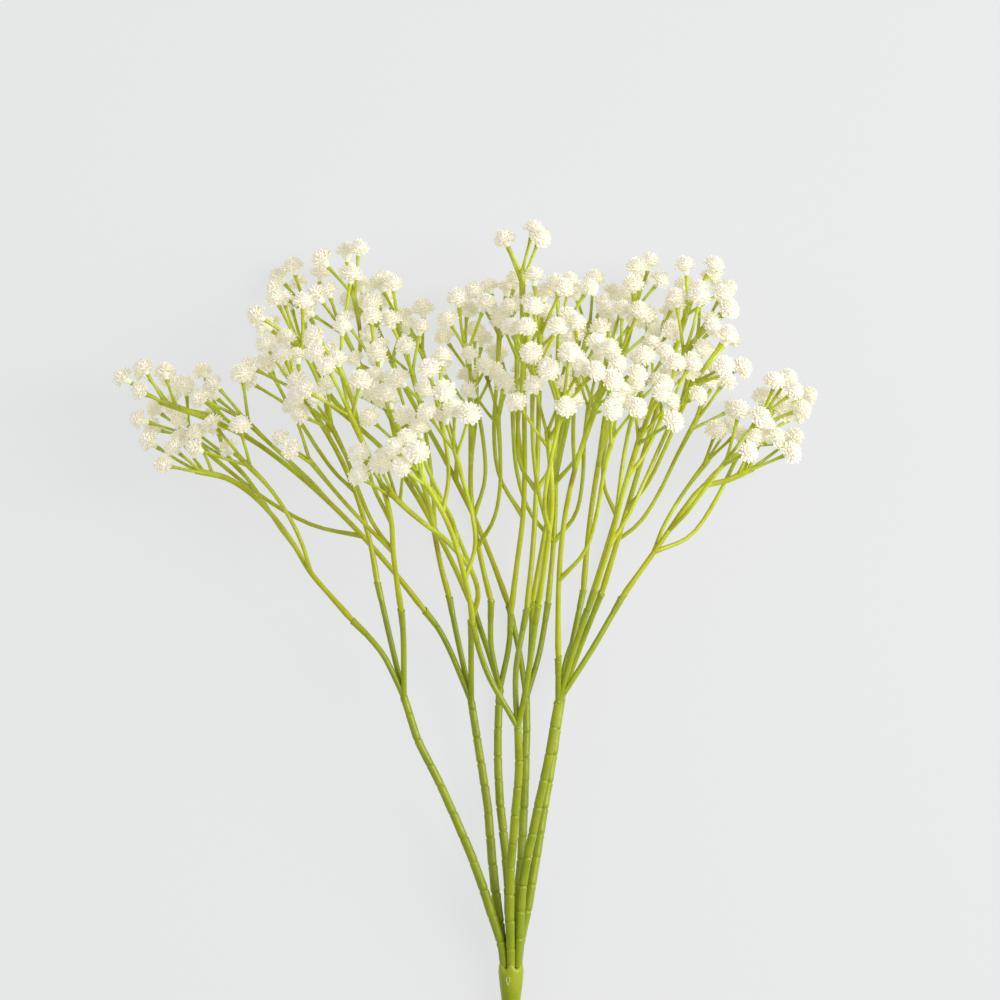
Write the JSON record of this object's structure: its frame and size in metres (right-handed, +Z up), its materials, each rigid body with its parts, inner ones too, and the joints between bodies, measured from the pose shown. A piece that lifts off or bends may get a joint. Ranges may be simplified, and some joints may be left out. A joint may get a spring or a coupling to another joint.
{
  "type": "gypsophila stem",
  "caption": "Artificial gypsophila bush lying down: ringed green plastic stems fork from a moulded collar into slim sprigs tipped with small cream pompom flower heads.",
  "frame": {"origin": "on the floor, under the middle of the laid-down bush's bounding box", "axes": "+Y from the cut stub towards the tips of the flowers, +Z up from the floor, towards the viewer of the picture"},
  "size_m": [0.3158, 0.3798, 0.1317],
  "materials": {
    "green_plastic": "yellow-green soft moulded plastic with a low sheen",
    "cream_petals": "cream-white soft plastic petals on yellow-green stalks"
  },
  "bodies": {
    "root": {"collar": "green_plastic", "stem_1": "green_plastic", "stem_2": "green_plastic", "stem_3": "green_plastic", "stem_4": "green_plastic", "stem_5": "green_plastic", "stem_6": "green_plastic", "stem_7": "green_plastic", "sprig_01": "cream_petals", "sprig_02": "cream_petals", "sprig_03": "cream_petals", "sprig_04": "cream_petals", "sprig_05": "cream_petals", "sprig_06": "cream_petals", "sprig_07": "cream_petals", "sprig_08": "cream_petals", "sprig_09": "cream_petals", "sprig_10": "cream_petals", "sprig_11": "cream_petals", "sprig_12": "cream_petals", "sprig_13": "cream_petals", "sprig_14": "cream_petals", "sprig_15": "cream_petals", "sprig_16": "cream_petals", "sprig_17": "cream_petals", "sprig_18": "cream_petals", "sprig_19": "cream_petals", "sprig_20": "cream_petals", "sprig_21": "cream_petals"}
  },
  "joints": []
}
